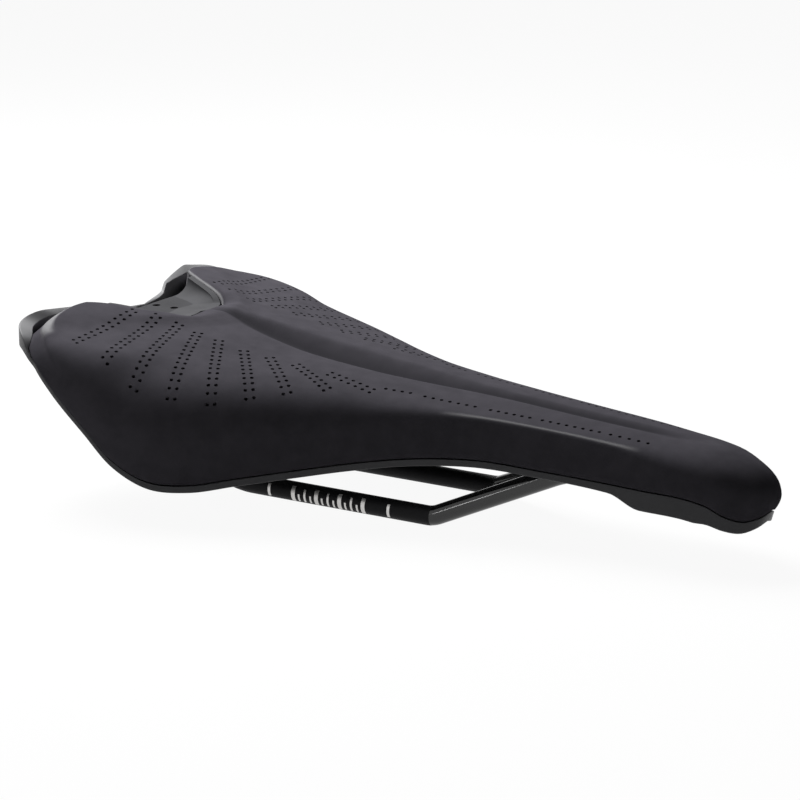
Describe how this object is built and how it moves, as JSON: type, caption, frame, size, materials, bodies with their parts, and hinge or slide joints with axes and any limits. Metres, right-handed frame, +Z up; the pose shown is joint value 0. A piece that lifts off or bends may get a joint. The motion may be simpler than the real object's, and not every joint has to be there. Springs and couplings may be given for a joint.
{
  "type": "bicycle saddle",
  "caption": "Padded road bicycle saddle with a shallow central channel, a notched tail with an accessory pad, and two round rails for a seatpost clamp.",
  "frame": {"origin": "midway between the two rail axes, at the middle of the straight stretch that a seatpost clamps", "axes": "+X to the nose, +Y to the rider's left, +Z up"},
  "size_m": [0.2758, 0.1434, 0.0643],
  "materials": {
    "cover_skin": "matte black microfibre, perforated",
    "foam": "moulded foam, hidden",
    "shell_nylon": "satin black moulding",
    "insert_nylon": "satin dark grey moulding",
    "socket_nylon": "glass filled nylon",
    "rail_metal": "black coated round rail",
    "screw_steel": "zinc plated",
    "brass_thread": "bright, hidden"
  },
  "bodies": {
    "root": {"cover": "cover_skin", "foam_padding": "foam", "base_shell": "shell_nylon", "tail_insert": "insert_nylon", "accessory_thread_front": "brass_thread", "accessory_thread_rear": "brass_thread", "tail_screw_left": "screw_steel", "tail_screw_right": "screw_steel", "left_rail": "rail_metal", "right_rail": "rail_metal", "nose_rail_socket": "socket_nylon", "nose_rail_clamp": "socket_nylon", "nose_clamp_screw_front": "screw_steel", "nose_clamp_screw_rear": "screw_steel", "nose_socket_screw_front": "screw_steel", "nose_socket_screw_rear": "screw_steel", "left_rear_socket": "socket_nylon", "right_rear_socket": "socket_nylon", "left_rear_screw_inner": "screw_steel", "left_rear_screw_outer": "screw_steel", "right_rear_screw_inner": "screw_steel", "right_rear_screw_outer": "screw_steel"}
  },
  "joints": []
}
